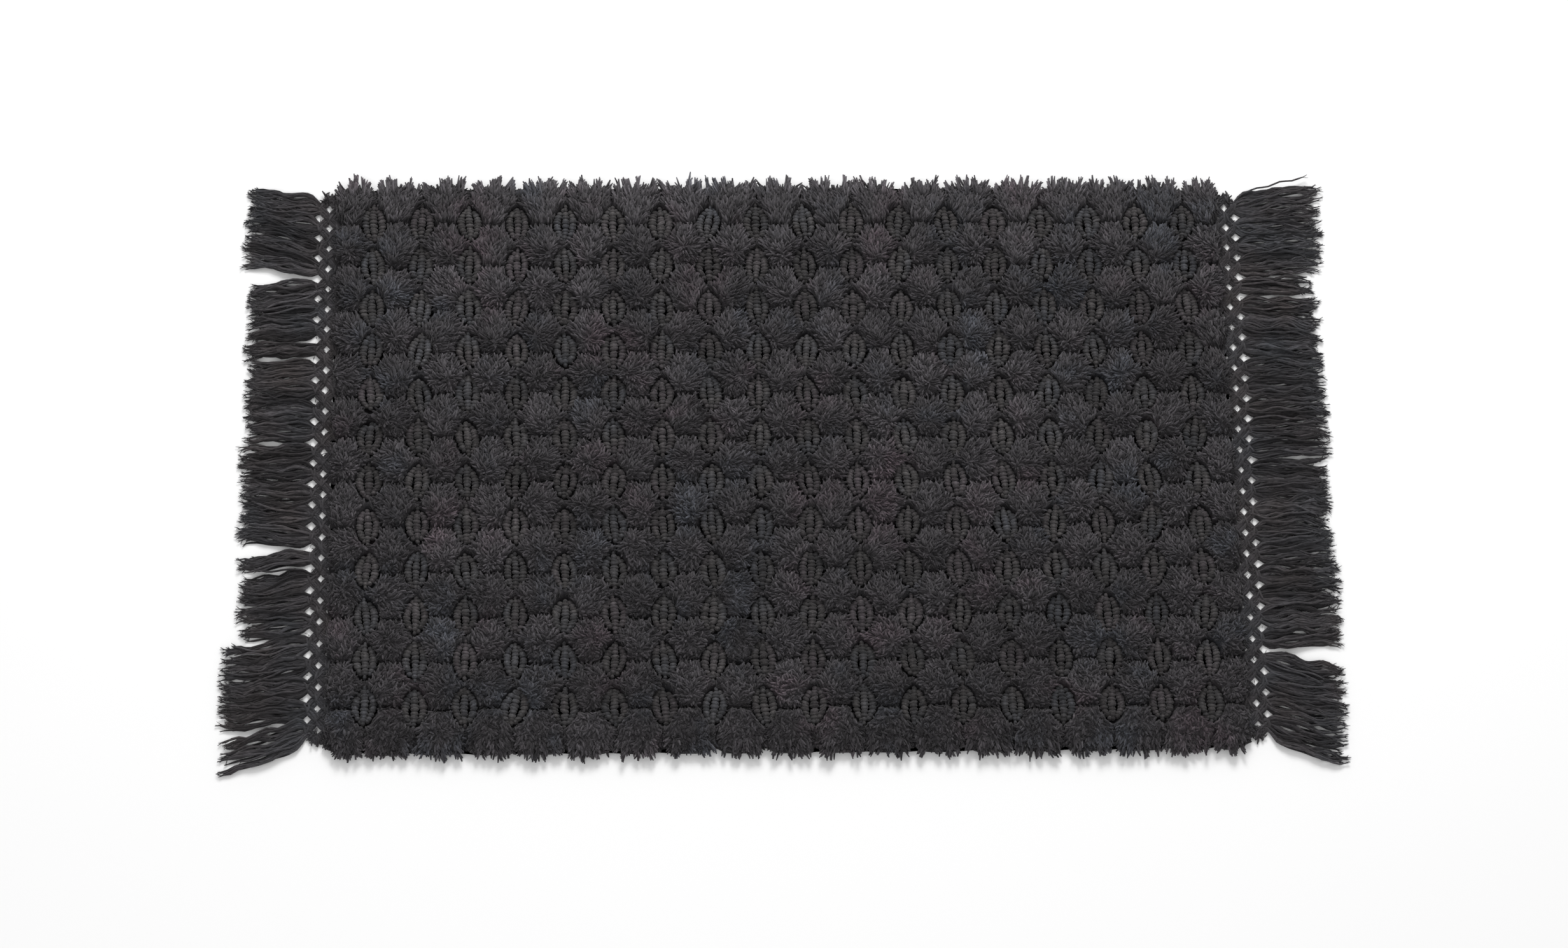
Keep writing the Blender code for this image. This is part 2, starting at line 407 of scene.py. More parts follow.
def swell(distance, width):
    """A soft bump: 1 at no distance, and next to nothing past twice the width."""
    return np.exp(-((distance / width) ** 2))


def nearest_column(x):
    """Distance along the mat to the nearest motif column."""
    return np.abs(x[:, None] - COLUMN_X[None, :]).min(axis=1)


def tuft_numbers(x):
    """Which tuft of its row each place belongs to, from the left."""
    return np.floor((x - COLUMN_X[0]) / COLUMN_PITCH).astype(int) + 1


def motif_clearance(x, y, groove):
    """Distance outside the pointed oval of the nearest motif on a groove, below zero inside it."""
    across = nearest_column(x) / MOTIF_HALF_WIDTH
    along = np.abs(y - groove) / (MOTIF_HALF_DEPTH + MOTIF_END_ROOM)
    return ((across**OVAL_POWER + along**OVAL_POWER) ** (1 / OVAL_POWER) - 1) * MOTIF_HALF_WIDTH


def selvedge(x, side):
    """How far out the core of the tufts ends at the far selvedge (side 1) or the near one (-1)."""
    overhang = FAR_OVERHANG if side > 0 else NEAR_OVERHANG
    valley = FAN_VALLEY * swell(nearest_column(x), VALLEY_WIDTH)
    corner = CORNER_ROUNDING * swell(PILE_END - np.abs(x), CORNER_WIDTH)
    return HALF_WIDTH + overhang - valley - corner


def fit_to_selvedge(x, y, row):
    """Draw an outer row's places in, so that its outer side follows the fans of its tufts."""
    if 0 < row < MOTIF_ROWS:
        return y
    side = 1 if row > 0 else -1
    groove = GROOVE_Y[-1] if row > 0 else GROOVE_Y[0]
    widest = HALF_WIDTH + (FAR_OVERHANG if row > 0 else NEAR_OVERHANG)
    reach = (y - groove) / (side * widest - groove)
    return groove + reach * (side * selvedge(x, side) - groove)


def row_bounds(row):
    """The numbers of the grooves on a pile row's near and far side, or None at a selvedge."""
    near = row - 1 if row > 0 else None
    far = row if row < MOTIF_ROWS else None
    return near, far


def row_span(row):
    """The near and far y of a pile row, out to the core's overhang at a selvedge."""
    near, far = row_bounds(row)
    low = GROOVE_Y[near] - GROOVE_SAG.max() if near is not None else -HALF_WIDTH - NEAR_OVERHANG
    high = GROOVE_Y[far] if far is not None else HALF_WIDTH + FAR_OVERHANG
    return low, high


def groove_line(x, groove):
    """Where a groove lies at each x: it sags towards the near side under the middle of each tuft."""
    place = (x - COLUMN_X[0]) / COLUMN_PITCH
    sag = GROOVE_SAG[groove][tuft_numbers(x)]
    return GROOVE_Y[groove] - sag * np.sin(math.pi * place) ** 2


def broad_tone(x, y):
    """The slow change of the dye over the whole mat, with painted light that makes it lightest towards
    the far side.
    """
    bend = 1.3 * np.sin(y / (80 * MM))
    drift = np.sin(x / (110 * MM) + bend) * np.cos(y / (95 * MM) - x / (260 * MM))
    return 1 + DYE_DRIFT * drift + FAR_PAINTED_LIGHT * y / HALF_WIDTH


def crease_distance(x, row):
    """Distance along the mat to the nearest crease between two tufts of a row."""
    creases = COLUMN_X + CREASE_SHIFT[row]
    return np.abs(x[:, None] - creases[None, :]).min(axis=1)


def pile_share(x, y, row):
    """How high the dense core of one pile row stands over (x, y), from 0 to 1."""
    to_groove = np.abs(y[:, None] - GROOVE_Y[None, :]).min(axis=1)
    recess = END_RECESS * swell(to_groove, RECESS_WIDTH)
    share = dome(PILE_END - END_MARGIN - recess - np.abs(x), END_SHOULDER)
    share = share * (1 - CREASE_DEPTH * swell(crease_distance(x, row), CREASE_WIDTH))
    for groove, away in zip(row_bounds(row), (1, -1)):
        if groove is None:
            inside = selvedge(x, -away) + away * y
            share = share * np.clip(inside / SELVEDGE_SHOULDER, 0, 1) ** 0.5
        else:
            clear_of_groove = away * (y - groove_line(x, groove)) - GROOVE_HALF_WIDTH
            share = share * dome(clear_of_groove, GROOVE_SHOULDER)
            share = share * dome(motif_clearance(x, y, GROOVE_Y[groove]), MOTIF_SHOULDER)
    return share


def core_height(x, y, row):
    """The height of the pile's dense core above the floor."""
    return CLOTH_TOP + CORE_LIFT + CORE_HEIGHT * pile_share(x, y, row)


def painted_depth_shade(share):
    """Painted shade: the tone is made darker low down between the tufts, where little light comes back
    out.
    """
    return DEEP_PAINTED_SHADE + (1 - DEEP_PAINTED_SHADE) * share


def core_block(columns, lines):
    """A closed block of unit sides with a fine grid for a top: its points and faces."""
    block = bmesh.new()
    bmesh.ops.create_grid(block, x_segments=columns, y_segments=lines, size=0.5)
    rim = [edge for edge in block.edges if edge.is_boundary]
    skirt = bmesh.ops.extrude_edge_only(block, edges=rim)["geom"]
    lowered = [part for part in skirt if isinstance(part, bmesh.types.BMVert)]
    bmesh.ops.translate(block, vec=(0, 0, -1), verts=lowered)
    bottom = [edge for edge in block.edges if edge.is_boundary]
    bmesh.ops.holes_fill(block, edges=bottom)
    bmesh.ops.triangulate(block, faces=[face for face in block.faces if len(face.verts) > 4])
    bmesh.ops.recalc_face_normals(block, faces=block.faces)
    return mesh_arrays(block)


def add_core(heap, row):
    """The dense foot of the tufts: a domed, closed block that fills the row under its cut ends."""
    low, high = row_span(row)
    length = 2 * (PILE_END - END_MARGIN)
    points, faces = core_block(round(length / CORE_STEP), round((high - low) / CORE_STEP))
    x = points[:, 0] * length
    y = fit_to_selvedge(x, (low + high) / 2 + points[:, 1] * (high - low), row)
    z = np.where(points[:, 2] < -0.5, CLOTH_TOP + CORE_BOTTOM, core_height(x, y, row))
    placed = np.stack([x, y, z], axis=1)
    # The core's tone: painted shade deep in the pile, the dye's drift, and painted light towards the far
    # side.
    tones = painted_depth_shade(pile_share(x, y, row)) * broad_tone(x, y) * CORE_PAINTED_SHADE
    heap.add_mesh(placed, faces, tones, placed / CORE_GRAIN)


# -------- cut ends of the pile

# The cut ends stand on a triangular grid, each one moved at random by up to half a space.
LOCK_SPACING = 2.55 * MM
LOCK_LINE_SHARE = 0.87
LOCK_JITTER = 0.5
LOWEST_SHARE = 0.10
# How far the cut ends keep off the pile's end, a crease, a groove and a motif, and how much more off a
# motif that they are combed towards.
END_ROOM = 4 * MM
CREASE_ROOM = 0.4 * MM
GROOVE_ROOM = GROOVE_HALF_WIDTH + 0.4 * MM
LOCK_MARGIN = 1.1 * MM
LEAN_ROOM = 2.2 * MM
# How strongly the nearest row is combed towards the far side, and how much more the farthest row is.
NEAR_COMBING = 0.15
COMBING_GAIN = 0.75
# Each tuft parts at a point of its own, which stands back from the way it is combed.
PARTING_SHIFT_X = 7 * MM
PARTING_SHIFT_Y = 6 * MM
PARTING_BACK = 3 * MM
COMBED_BACK = 9 * MM
# The cut ends lie over this much more the farther they are from the parting, and rise by this share.
FLOW_DEPTH = 22 * MM
INNER_RISE = 0.42
# At an outer row, from its groove to its selvedge: how far the ends spread, head outwards and rise.
FAN_SPREAD = (0.35, 0.65)
FAN_HEADING = (0.3, 1.3)
FAN_RISE = (0.4, 0.2)
# How far neighbours turn together and each end turns alone: combed flat, and how much more when loose.
RIPPLE_TURN = (0.2, 0.35)
LONE_TURN = (0.18, 0.35)
# The length of the cut ends: longer where the core is high and where the tufts are combed.
LOWEST_LENGTH = 3.6 * MM
HEIGHT_LENGTH = 2.4 * MM
COMBED_LONGER = 0.55
SUNK_SHARE = 0.45


def combing(row):
    """How strongly the tufts of a row are combed one way, from 0 to 1: most at the far side."""
    return NEAR_COMBING + COMBING_GAIN * row / MOTIF_ROWS


def lock_places(row):
    """Jittered plan places for a row's cut ends, with the height share there."""
    low, high = row_span(row)
    across = np.arange(-PILE_END + END_ROOM, PILE_END - END_ROOM, LOCK_SPACING)
    along = np.arange(low, high, LOCK_SPACING * LOCK_LINE_SHARE)
    x, y = np.meshgrid(across, along)
    x = x + (np.arange(len(along)) % 2)[:, None] * LOCK_SPACING / 2
    x = (x + rng.uniform(-LOCK_JITTER, LOCK_JITTER, x.shape) * LOCK_SPACING).ravel()
    y = (y + rng.uniform(-LOCK_JITTER, LOCK_JITTER, y.shape) * LOCK_SPACING).ravel()
    y = fit_to_selvedge(x, y, row)
    share = pile_share(x, y, row)
    kept = (share > LOWEST_SHARE) & (crease_distance(x, row) > CREASE_ROOM)
    for groove, away in zip(row_bounds(row), (1, -1)):
        if groove is not None:
            lean_room = LEAN_ROOM * combing(row) if away < 0 else 0
            kept &= motif_clearance(x, y, GROOVE_Y[groove]) > LOCK_MARGIN + lean_room
            kept &= away * (y - groove_line(x, groove)) > GROOVE_ROOM
    return x[kept], y[kept], share[kept]


def tuft_partings(x, row):
    """The parting point of the tuft that each place belongs to, off centre and different for each."""
    low, high = row_span(row)
    index = tuft_numbers(x)
    shift_x = rng.normal(scale=PARTING_SHIFT_X, size=TUFTS_PER_ROW)[index]
    shift_y = rng.normal(scale=PARTING_SHIFT_Y, size=TUFTS_PER_ROW)[index]
    parting_x = COLUMN_X[0] + (index - 0.5) * COLUMN_PITCH + shift_x
    parting_y = (low + high) / 2 + shift_y - (PARTING_BACK + COMBED_BACK * combing(row))
    return parting_x, parting_y


def pile_flow(x, y, row):
    """Which way the cut ends lie before they are ruffled, as x, y and the rise that goes with them."""
    near, far = row_bounds(row)
    parting_x, parting_y = tuft_partings(x, row)
    flow_x = (x - parting_x) / (COLUMN_PITCH / 2)
    if near is not None and far is not None:
        return flow_x, (y - parting_y) / FLOW_DEPTH, INNER_RISE
    bound, outwards = (far, -1) if near is None else (near, 1)
    reach = np.clip(np.abs(y - GROOVE_Y[bound]) / (HALF_WIDTH - abs(GROOVE_Y[0])), 0, 1)
    flow_y = outwards * np.interp(reach, (0, 1), FAN_HEADING)
    return flow_x * np.interp(reach, (0, 1), FAN_SPREAD), flow_y, np.interp(reach, (0, 1), FAN_RISE)


def ripple(x, y):
    """A small irregular wave over the pile, between -2 and 2."""
    first = np.sin(x / (3.1 * MM) + 2.0 * np.sin(y / (4.3 * MM)))
    second = np.sin(y / (3.7 * MM) + x / (9 * MM))
    return first + second


def pile_directions(x, y, row):
    """Each cut end lies outwards from the parting of its tuft, a little ruffled."""
    flow_x, flow_y, rise = pile_flow(x, y, row)
    length = np.sqrt(flow_x**2 + flow_y**2) + 0.3
    loose = 1 - combing(row)
    shared_turn = (RIPPLE_TURN[0] + RIPPLE_TURN[1] * loose) * ripple(x, y)
    turn = shared_turn + rng.normal(scale=LONE_TURN[0] + LONE_TURN[1] * loose, size=len(x))
    across = (flow_x * np.cos(turn) - flow_y * np.sin(turn)) / length
    along = (flow_y * np.cos(turn) + flow_x * np.sin(turn)) / length
    lift = rise + rng.uniform(-0.12, 0.15, len(x))
    return unit(np.stack([across, along, lift], axis=1))


def add_tuft_locks(heap, row):
    """The cut ends that cover a row of tufts."""
    x, y, share = lock_places(row)
    directions = pile_directions(x, y, row)
    lengths = LOWEST_LENGTH + HEIGHT_LENGTH * share + rng.uniform(-0.8 * MM, 1.6 * MM, len(x))
    lengths = lengths * (1 + COMBED_LONGER * combing(row))
    thicknesses = rng.uniform(2.0 * MM, 3.2 * MM, len(x))
    heights = core_height(x, y, row) + rng.uniform(-0.6 * MM, 1.1 * MM, len(x))
    bases = np.stack([x, y, heights], axis=1) - directions * lengths[:, None] * SUNK_SHARE
    tuft_tone = rng.uniform(0.62, 0.96, TUFTS_PER_ROW)[tuft_numbers(x)]
    # Random tones, with painted shade deep in the pile and painted light towards the far side.
    tones = rng.uniform(0.26, 1.54, len(x)) * tuft_tone * painted_depth_shade(share) * broad_tone(x, y)
    add_locks(heap, bases, directions, lengths, thicknesses, tones)


# The long loose ends past a selvedge, which hold together in wisps of a few.
WISPS_PER_TUFT = 13
LOCKS_PER_WISP = 9
# At each selvedge: which way is outwards, the longest loose end, and a tone of painted light: lighter at
# the far selvedge, darker at the near one.
FAR_FAN = (1, 18 * MM, 1.12)
NEAR_FAN = (-1, 14 * MM, 0.95)
# How the ends of a wisp draw together towards its tip, how far the wisps of a tuft splay, and how much
# of the tuft's width they take up.
WISP_DRAW_IN = 1.6
WISP_SPLAY = 0.5
FAN_WIDTH = 0.88


def wisp_headings(places, swings, across, outwards):
    """Which way each loose end points: outwards, with its wisp, and in towards the wisp's middle."""
    sideways = places * WISP_SPLAY + swings + (places - across) * WISP_DRAW_IN
    rises = rng.uniform(0.05, 0.4, len(across))
    return unit(np.stack([sideways, np.full(len(across), outwards), rises], axis=1))


def add_fan_locks(heap, row):
    """Long loose ends that fan out past a selvedge in wisps: longest at the far selvedge."""
    outwards, longest, fan_painted_light = FAR_FAN if row > 0 else NEAR_FAN
    wisps = WISPS_PER_TUFT * TUFTS_PER_ROW
    wisp_place = rng.uniform(-0.95, 0.95, wisps)
    wisp_swing = rng.normal(scale=0.25, size=wisps)
    wisp_reach = rng.uniform(0.45, 0.85, wisps)
    wisp_reach = wisp_reach + np.where(rng.random(wisps) < 0.1, 0.15, 0)
    wisp_tone = rng.uniform(0.7, 1.3, wisps)

    wisp = np.repeat(np.arange(wisps), LOCKS_PER_WISP)
    count = len(wisp)
    across = wisp_place[wisp] + rng.normal(scale=0.07, size=count)
    bounds = np.concatenate([[-PILE_END + END_ROOM], COLUMN_X, [PILE_END - END_ROOM]])
    left, right = bounds[wisp // WISPS_PER_TUFT], bounds[wisp // WISPS_PER_TUFT + 1]
    x = (left + right) / 2 + across * (right - left) / 2 * FAN_WIDTH
    y = outwards * (selvedge(x, outwards) - rng.uniform(1 * MM, 15 * MM, count))
    directions = wisp_headings(wisp_place[wisp], wisp_swing[wisp], across, outwards)
    lengths = longest * wisp_reach[wisp] * rng.uniform(0.8, 1.05, count)
    thicknesses = rng.uniform(1.9 * MM, 3.0 * MM, count)
    bases = np.stack([x, y, core_height(x, y, row) - 1.0 * MM], axis=1)
    bases[:, 2] = np.maximum(bases[:, 2], CLOTH_TOP + rng.uniform(0, 3.5 * MM, count))
    tones = wisp_tone[wisp] * rng.uniform(0.4, 1.5, count) * broad_tone(x, y) * fan_painted_light
    add_locks(heap, bases, directions, lengths, thicknesses, tones)


def build_pile():
    """Thirteen rows of tufts, each a dense core under some thousands of cut ends."""
    for row in range(PILE_ROWS):
        heap = Heap()
        add_core(heap, row)
        add_tuft_locks(heap, row)
        if row in (0, PILE_ROWS - 1):
            add_fan_locks(heap, row)
        name = f"pile_tufts_{row + 1:02d}"
        put_in_scene(name, heap.mesh(name), PILE_COTTON, "cut_pile", f"pile_row_{row + 1:02d}")


# -------- rib motifs

RIBS_PER_MOTIF = 3
FLOATS_PER_RIB = 11
RIB_SPACING = 8.7 * MM
RIB_GAP = 0.1 * MM
RIB_CROWN = 11.0 * MM
SIDE_RIB_DROP = 0.8 * MM
FLOAT_SPACING = 3.4 * MM
FLOAT_HALF_HEIGHT = 3.0 * MM
# A side rib ends where the motif is nearly at its tip, as a share of its half length.
SIDE_RIB_END = 0.9
# Painted shade: the tone of a float at its middle, part of the way out, and at its end, made darker where
# it goes down in the cloth.
FLOAT_PAINTED_SHADES = (1.05, 0.95, 0.35)


def float_prototype():
    """One short float of yarn laid across a rib: a soft rounded slug, two units across."""
    shape = bmesh.new()
    bmesh.ops.create_uvsphere(shape, u_segments=6, v_segments=4, radius=1.0)
    bmesh.ops.rotate(shape, matrix=Matrix.Rotation(math.pi / 2, 3, "Y"), verts=shape.verts)
    bmesh.ops.recalc_face_normals(shape, faces=shape.faces)
    points, faces = mesh_arrays(shape)
    return points, faces, np.interp(np.abs(points[:, 0]), (0, 0.6, 1), FLOAT_PAINTED_SHADES), 0


def motif_width(along):
    """Half width of a motif, as a share, at a place from -1 (near tip) to 1 (far tip)."""
    return max(0.08, 1 - along**2) ** 0.7


def rib_floats(side, motif):
    """The floats of one rib, which stands on a motif's left (-1), middle (0) or right (1)."""
    (column, groove), lean, stretch, breadth, tone = motif
    shift = rng.uniform(-0.5, 0.5) * FLOAT_SPACING
    slant = rng.normal(scale=0.15) + 0.25 * side
    wander = rng.uniform(0, 2 * math.pi)
    sink = rng.uniform(0, 1.2 * MM)
    floats = []
    for index in range(FLOATS_PER_RIB):
        jitter = rng.uniform(-0.2, 0.2) * FLOAT_SPACING
        place = (index - (FLOATS_PER_RIB - 1) / 2) * FLOAT_SPACING + shift + jitter
        step = place * stretch
        along = place / MOTIF_HALF_DEPTH
        width = motif_width(along)
        if side != 0 and abs(along) > SIDE_RIB_END:
            continue
        x = column + side * RIB_SPACING * width * breadth + lean * step
        x += 0.5 * MM * math.sin(wander + 3 * along)
        y = groove + step * (1 - 0.06 * abs(side))
        z = CLOTH_TOP + RIB_CROWN * (0.48 + 0.12 * width) - SIDE_RIB_DROP * abs(side) - sink
        half_sizes = (
            (RIB_SPACING * breadth * (0.35 + 0.65 * width) - RIB_GAP) / 2,
            FLOAT_SPACING * 0.85,
            FLOAT_HALF_HEIGHT * (0.7 + 0.3 * width),
        )
        turn = slant + rng.normal(scale=0.2)
        floats.append(((x, y, z), half_sizes, turn, tone * rng.uniform(0.58, 1.22)))
    return floats


def motif_floats(column, groove):
    """The floats of one motif: rows of (centre, half sizes, turn, tone)."""
    lean = rng.normal(scale=0.06)
    stretch = rng.uniform(0.96, 1.12)
    breadth = rng.uniform(0.9, 1.06)
    middle = (column, groove + rng.uniform(-1.2 * MM, 1.2 * MM))
    motif = (middle, lean, stretch, breadth, rng.uniform(0.8, 1.15))
    floats = []
    for rib in range(RIBS_PER_MOTIF):
        floats += rib_floats(rib - (RIBS_PER_MOTIF - 1) / 2, motif)
    return floats


def float_matrices(centres, half_sizes, turns):
    """4x4 matrices that size each float, turn it about the upright axis and put it in its place."""
    cosine, sine = np.cos(turns), np.sin(turns)
    matrices = np.zeros((len(centres), 4, 4))
    matrices[:, 0, 0] = cosine * half_sizes[:, 0]
    matrices[:, 1, 0] = sine * half_sizes[:, 0]
    matrices[:, 0, 1] = -sine * half_sizes[:, 1]
    matrices[:, 1, 1] = cosine * half_sizes[:, 1]
    matrices[:, 2, 2] = half_sizes[:, 2]
    matrices[:, :3, 3] = centres
    matrices[:, 3, 3] = 1
    return matrices


def build_motif_rows(name, rows):
    """The rib motifs of some rows: three ribs of floats each, drawn together at the near and far tips."""
    floats = []
    for row in rows:
        for column in COLUMN_X:
            floats += motif_floats(column, GROOVE_Y[row])
    centres, half_sizes, turns, tones = (np.array(values) for values in zip(*floats))
    half_sizes = half_sizes * rng.uniform(0.86, 1.1, half_sizes.shape)
    tones = tones * broad_tone(centres[:, 0], centres[:, 1])
    heap = Heap()
    heap.add_copies(float_prototype(), float_matrices(centres, half_sizes, turns), tones)
    nodes = [f"rib_row_{row + 1:02d}" for row in rows]
    put_in_scene(name, heap.mesh(name), RIB_COTTON, "rib_weave", *nodes)


def build_motifs():
    """All rib motifs, in three pieces of four rows each."""
    for first, name in ((0, "rib_motifs_near"), (4, "rib_motifs_middle"), (8, "rib_motifs_far")):
        build_motif_rows(name, range(first, first + 4))


# -------- ground cloth

CLOTH_STEP = 5 * MM
CLOTH_GRAIN = 1.4 * MM


def build_ground_cloth():
    """The plain-woven ground: a thin, flat, closed sheet."""
    sheet = bmesh.new()
    columns = round(CLOTH_LENGTH / CLOTH_STEP)
    lines = round(CLOTH_WIDTH / CLOTH_STEP)
    bmesh.ops.create_grid(sheet, x_segments=columns, y_segments=lines, size=0.5)
    bmesh.ops.scale(sheet, vec=(CLOTH_LENGTH, CLOTH_WIDTH, 1), verts=sheet.verts)
    top = bmesh.ops.extrude_face_region(sheet, geom=sheet.faces[:])["geom"]
    raised = [part for part in top if isinstance(part, bmesh.types.BMVert)]
    bmesh.ops.translate(sheet, vec=(0, 0, CLOTH_TOP), verts=raised)
    bmesh.ops.recalc_face_normals(sheet, faces=sheet.faces)
    points, faces = mesh_arrays(sheet)
    heap = Heap()
    heap.add_mesh(points, faces, np.full(len(points), 0.8), points / CLOTH_GRAIN)
    name = "ground_weave"
    return put_in_scene(name, heap.mesh(name), GROUND_COTTON, "ground_weave", "ground_cloth")


# -------- yarns of the nets and tassels

YARN_RADIUS = 1.05 * MM
YARN_SIZES = (0.85, 1.1)
# Few sides to each yarn, because there are so many.
YARN_BEVEL_RESOLUTION = 1
TASSELS_PER_END = 2 * PILE_ROWS


def tassel_layout():
    """The middle of each tassel's knot across the mat, and the pitch."""
    low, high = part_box("left_end_net")
    pitch = (high.y - low.y) / TASSELS_PER_END
    return np.array([low.y + (index + 0.5) * pitch for index in range(TASSELS_PER_END)]), pitch


TASSEL_Y, TASSEL_PITCH = tassel_layout()


def yarn_mesh(name, paths, radii):
    """Round yarns as one closed mesh, made from a bevelled curve with one spline for each path."""
    curve = bpy.data.curves.new(name, "CURVE")
    curve.dimensions = "3D"
    curve.bevel_depth = 1.0
    curve.bevel_resolution = YARN_BEVEL_RESOLUTION
    curve.use_fill_caps = True
    for path, radius in zip(paths, radii):
        spline = curve.splines.new("POLY")
        spline.points.add(len(path) - 1)
        flat = np.concatenate([path, np.ones((len(path), 1))], axis=1)
        spline.points.foreach_set("co", flat.ravel())
        spline.points.foreach_set("radius", np.asarray(radius, dtype=float))
    holder = bpy.data.objects.new(name, curve)
    bpy.context.scene.collection.objects.link(holder)
    graph = bpy.context.evaluated_depsgraph_get()
    mesh = bpy.data.meshes.new_from_object(holder.evaluated_get(graph))
    bpy.data.objects.remove(holder)
    bpy.data.curves.remove(curve)
    return mesh


def heap_from_yarns(mesh, yarn_count, tones):
    """A heap that starts with a mesh of equal yarns, each yarn with its own tone."""
    source = bmesh.new()
    source.from_mesh(mesh)
    bpy.data.meshes.remove(mesh)
    bmesh.ops.recalc_face_normals(source, faces=source.faces)
    points, faces = mesh_arrays(source)
    grain = points / np.array([FIBRE_LENGTH, FIBRE_WIDTH, FIBRE_WIDTH])
    heap = Heap()
    heap.add_mesh(points, faces, np.repeat(np.array(tones), len(points) // yarn_count), grain)
    return heap


# -------- end nets

YARNS_PER_CORD = 7
NET_MARGIN = 3.2 * MM
HOLE_COLUMN_PITCH = 9.3 * MM
HOLE_COLUMNS = 3
# How far under the pile the cords begin.
CORD_START = 4 * MM
# Two knots are joined where they are less far apart across the mat than this share of the tassel pitch.
CORD_REACH = 0.6
CORD_HALF_WIDTH = 4.2 * MM
CORD_NARROWEST = 0.62
CORD_STEPS = np.linspace(-0.06, 1.06, 6)
# The height of the yarns of a lower cord, how much higher an upper cord lies, and every other yarn.
CORD_HEIGHT = 1.25 * MM
CORD_LAYER = 1.5 * MM
YARN_STAGGER = 0.45 * MM
# The half sizes of a turn of cord round a knot.
LOOP_SIZE = (3.4 * MM, 4.6 * MM, 2.0 * MM, 1.0)
# The share of a net's loose fibres that stands round its near and far ends.
END_FUZZ_SHARE = 0.35


def loop_prototype():
    """One turn of cord round a knot: a closed ring about the X axis, one unit in radius."""
    shape = bmesh.new()
    ring = bmesh.ops.create_circle(shape, segments=6, radius=0.32)
    bmesh.ops.translate(shape, vec=(1.0, 0, 0), verts=ring["verts"])
    bmesh.ops.rotate(shape, matrix=Matrix.Rotation(math.pi / 2, 3, "X"), verts=shape.verts)
    bmesh.ops.spin(
        shape,
        geom=shape.verts[:] + shape.edges[:],
        cent=(0, 0, 0),
        axis=(0, 0, 1),
        angle=2 * math.pi,
        steps=12,
        use_merge=True,
        use_duplicate=False,
    )
    bmesh.ops.remove_doubles(shape, verts=shape.verts, dist=0.001)
    bmesh.ops.rotate(shape, matrix=Matrix.Rotation(math.pi / 2, 3, "Y"), verts=shape.verts)
    bmesh.ops.recalc_face_normals(shape, faces=shape.faces)
    points, faces = mesh_arrays(shape)
    return points, faces, np.ones(len(points)), 1


def net_nodes(net_start):
    """The knots of a net, column by column: (x, list of y) outwards from the cloth."""
    between = np.concatenate([TASSEL_Y - TASSEL_PITCH / 2, TASSEL_Y[-1:] + TASSEL_PITCH / 2])
    columns = [(net_start - CORD_START, between)]
    for column in range(HOLE_COLUMNS):
        x = net_start + NET_MARGIN + column * HOLE_COLUMN_PITCH
        columns.append((x, TASSEL_Y if column % 2 == 0 else between))
    return columns


def cord_yarns(direction, start, end):
    """The yarns of one flat slanting cord of the net, narrow at both knots and wide between them."""
    (x0, y0), (x1, y1) = start, end
    slant = np.sign(y1 - y0)
    layer = CORD_LAYER if slant > 0 else 0
    run, rise = abs(x1 - x0), abs(y1 - y0)
    length = math.hypot(run, rise)
    width = CORD_NARROWEST + (1 - CORD_NARROWEST) * np.sin(math.pi * np.clip(CORD_STEPS, 0, 1))
    paths = []
    for yarn in range(YARNS_PER_CORD):
        rank = (yarn + 0.5) / YARNS_PER_CORD * 2 - 1 + rng.normal(scale=0.06)
        offset = rank * CORD_HALF_WIDTH * width
        x = x0 + (x1 - x0) * CORD_STEPS - slant * offset * rise / length
        y = y0 + (y1 - y0) * CORD_STEPS + offset * run / length
        height = CORD_HEIGHT + layer + YARN_STAGGER * (yarn % 2)
        z = height + rng.uniform(-0.15 * MM, 0.25 * MM, len(CORD_STEPS))
        paths.append(np.stack([direction * x, y, z], axis=1))
    return paths


def net_paths(direction, columns):
    """The yarns of all cords of a net, each cord from a knot to one in the next column."""
    paths = []
    for (x0, starts), (x1, ends) in zip(columns[:-1], columns[1:]):
        for y0 in starts:
            for y1 in ends:
                if abs(y1 - y0) < CORD_REACH * TASSEL_PITCH:
                    paths += cord_yarns(direction, (x0, y0), (x1, y1))
    return paths


def add_knots(heap, direction, columns):
    """Tie each crossing with two turns of cord that lie nearly across the warp."""
    matrices = []
    for x, ys in columns[1:]:
        for y in ys:
            for turn in (-1, 1):
                tilt = Matrix.Rotation(rng.normal(scale=0.25) + 0.3 * turn, 4, "Z")
                tip_over = Matrix.Rotation(rng.normal(scale=0.12), 4, "Y")
                place = Matrix.Translation((direction * (x + turn * 1.3 * MM), y, 2.5 * MM))
                matrices.append(np.array(place @ tilt @ tip_over @ Matrix.Diagonal(LOOP_SIZE)))
    heap.add_copies(loop_prototype(), np.array(matrices), rng.uniform(0.75, 1.2, len(matrices)))


